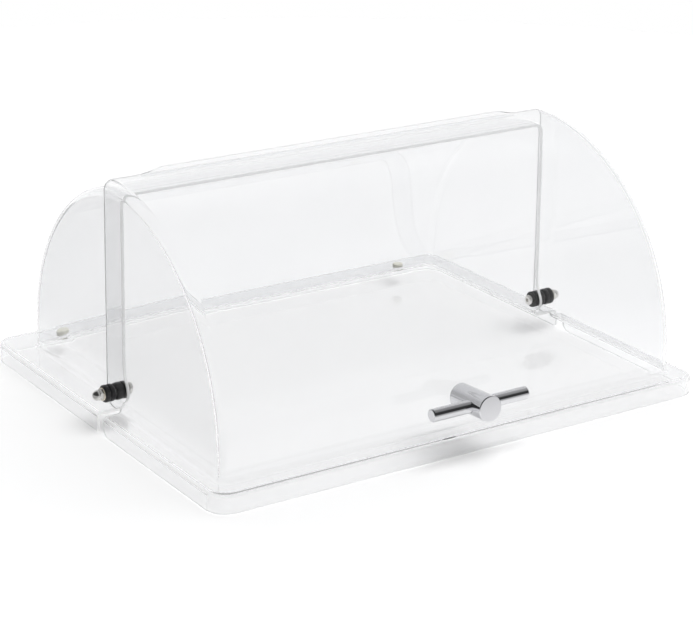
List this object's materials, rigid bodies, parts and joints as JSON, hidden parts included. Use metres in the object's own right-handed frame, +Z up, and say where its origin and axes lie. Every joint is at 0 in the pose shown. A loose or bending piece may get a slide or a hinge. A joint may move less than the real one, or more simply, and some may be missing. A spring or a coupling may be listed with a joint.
{
  "type": "countertop bread display cover",
  "caption": "Clear barrel-shaped countertop display cover for bread, whose front half swings up and back over the fixed rear half.",
  "frame": {"origin": "on the table, under the middle of the whole object including the handle", "axes": "+X along the pivot line, to the right seen from the handle; -Y towards the handle; +Z up"},
  "size_m": [0.5346, 0.4628, 0.237],
  "materials": {
    "clear_plastic": "clear polished sheet",
    "chrome_plate": "polished",
    "steel": "polished stainless",
    "washer_steel": "polished, slightly warm",
    "black_rubber": "satin black",
    "soft_silicone": "translucent, faintly yellow"
  },
  "bodies": {
    "rear_cover": {"rear_shell": "clear_plastic", "left_pivot_screw": "steel", "left_cap_nut": "steel", "left_steel_washer": "washer_steel", "left_outer_ring_a": "black_rubber", "left_outer_ring_b": "black_rubber", "left_spacer_ring": "black_rubber", "left_inner_ring": "black_rubber", "left_bumper": "soft_silicone", "right_pivot_screw": "steel", "right_cap_nut": "steel", "right_steel_washer": "washer_steel", "right_outer_ring_a": "black_rubber", "right_outer_ring_b": "black_rubber", "right_spacer_ring": "black_rubber", "right_inner_ring": "black_rubber", "right_bumper": "soft_silicone"},
    "front_cover": {"front_shell": "clear_plastic", "handle_post": "chrome_plate", "handle_bar": "chrome_plate", "handle_screw": "steel", "handle_washer": "black_rubber"}
  },
  "joints": [
    {"name": "cover_hinge", "type": "hinge", "parent": "rear_cover", "child": "front_cover", "pos_m": [0, 0.01137, 0.0345], "axis": [-1, 0, 0], "range_deg": [0, 90]}
  ]
}
